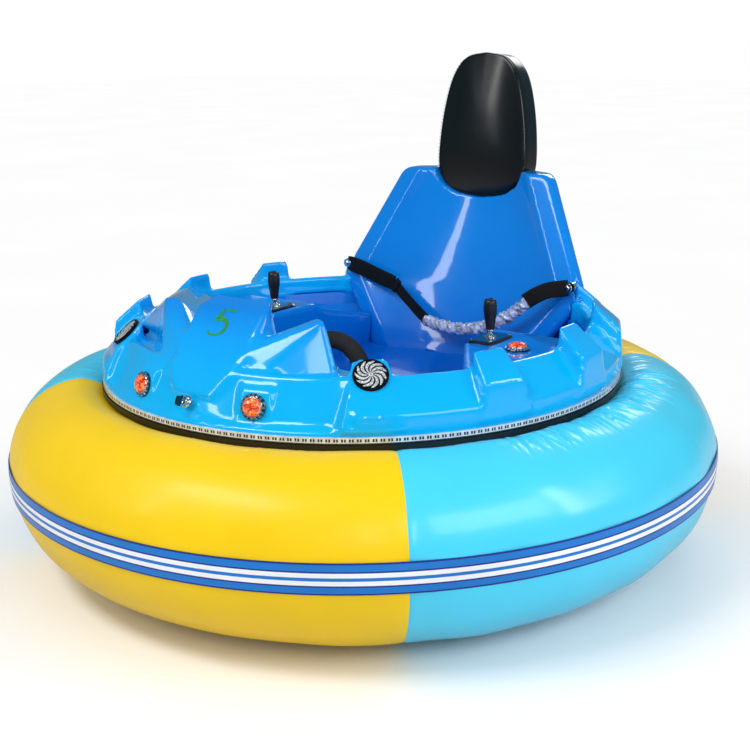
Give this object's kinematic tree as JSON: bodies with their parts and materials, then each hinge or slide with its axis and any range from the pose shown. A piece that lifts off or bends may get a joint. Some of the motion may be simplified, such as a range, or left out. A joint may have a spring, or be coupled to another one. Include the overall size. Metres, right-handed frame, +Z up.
{
  "type": "inflatable spin bumper car",
  "caption": "Battery bumper car with an inflated round bumper, moulded cockpit with a tall seat back, twin joysticks, hub-driven wheels and swivel casters",
  "frame": {"origin": "on the floor under the centre of the bumper ring", "axes": "+Z up; -Y is the nose, so the seat back stands at +Y; +X is the rider's left"},
  "size_m": [2.0052, 2.005, 1.3713],
  "materials": {
    "ring_yellow": "welded PVC sheet, satin gloss",
    "ring_blue": "welded PVC sheet, satin gloss",
    "band_blue": "printed PVC wear band",
    "band_white": "printed PVC stripe",
    "body_blue": "gel-coated glass fibre, high gloss",
    "pad_black": "grained leatherette over foam",
    "trim_rubber": "black rubber edging",
    "led_clear": "clear sleeve over a light strip",
    "fan_black": "black disc with silver blades",
    "chrome": "bright plated",
    "lens_orange": "faceted translucent orange",
    "plate_black": "glossy moulded plastic",
    "grip_black": "matt moulded rubber",
    "foam_black": "closed-cell foam sleeve",
    "webbing_black": "woven polyester webbing",
    "wrap_clear": "clear protective film",
    "frame_steel": "black painted steel tube",
    "bar_steel": "painted steel tube",
    "motor_grey": "grey painted motor and gearbox",
    "wheel_tyre": "solid rubber tyre",
    "wheel_hub": "cast hub",
    "zinc_steel": "zinc plated pressed steel",
    "caster_tread": "grey rubber caster wheel",
    "battery_black": "battery case"
  },
  "bodies": {
    "car": {"band_stripes": "band_white", "battery": "battery_black", "belt_anchors": "chrome", "belt_strap_left": "webbing_black", "belt_strap_right": "webbing_black", "belt_wrap": "wrap_clear", "caster_plate_front": "zinc_steel", "caster_plate_rear": "zinc_steel", "chassis_frame": "frame_steel", "cockpit_tub": "body_blue", "console_left": "body_blue", "console_right": "body_blue", "deck_shell": "body_blue", "drive_motor_left": "motor_grey", "drive_motor_right": "motor_grey", "edge_trim": "trim_rubber", "fan_light_left": "fan_black", "fan_light_right": "fan_black", "grab_bar": "bar_steel", "grab_bar_foam": "foam_black", "headrest": "pad_black", "hood": "body_blue", "ignition_key": "plate_black", "joystick_grip_left": "grip_black", "joystick_grip_right": "grip_black", "joystick_plate_left": "plate_black", "joystick_plate_right": "plate_black", "joystick_shafts": "chrome", "key_switch": "chrome", "lamp_bezels": "chrome", "lamp_lenses": "lens_orange", "led_strip": "led_clear", "seat_back": "body_blue", "seat_base": "body_blue", "tube_front": "ring_yellow", "tube_left": "ring_blue", "tube_rear": "ring_yellow", "tube_right": "ring_blue", "wear_band": "band_blue"},
    "drive_wheel_left": {"drive_hub_left": "wheel_hub", "drive_tyre_left": "wheel_tyre"},
    "drive_wheel_right": {"drive_hub_right": "wheel_hub", "drive_tyre_right": "wheel_tyre"},
    "front_caster": {"caster_fork_front": "zinc_steel"},
    "front_caster_wheel": {"caster_wheel_front": "caster_tread"},
    "rear_caster": {"caster_fork_rear": "zinc_steel"},
    "rear_caster_wheel": {"caster_wheel_rear": "caster_tread"}
  },
  "joints": [
    {"name": "left_wheel_spin", "type": "hinge", "parent": "car", "child": "drive_wheel_left", "pos_m": [0.42, 0, 0.09], "axis": [1, 0, 0], "continuous": true},
    {"name": "right_wheel_spin", "type": "hinge", "parent": "car", "child": "drive_wheel_right", "pos_m": [-0.42, 0, 0.09], "axis": [1, 0, 0], "continuous": true},
    {"name": "front_caster_swivel", "type": "hinge", "parent": "car", "child": "front_caster", "pos_m": [0, -0.42, 0.15], "axis": [0, 0, 1], "continuous": true},
    {"name": "rear_caster_swivel", "type": "hinge", "parent": "car", "child": "rear_caster", "pos_m": [0, 0.42, 0.15], "axis": [0, 0, 1], "continuous": true},
    {"name": "front_caster_roll", "type": "hinge", "parent": "front_caster", "child": "front_caster_wheel", "pos_m": [0, -0.384, 0.05], "axis": [1, 0, 0], "continuous": true},
    {"name": "rear_caster_roll", "type": "hinge", "parent": "rear_caster", "child": "rear_caster_wheel", "pos_m": [0, 0.456, 0.05], "axis": [1, 0, 0], "continuous": true}
  ]
}
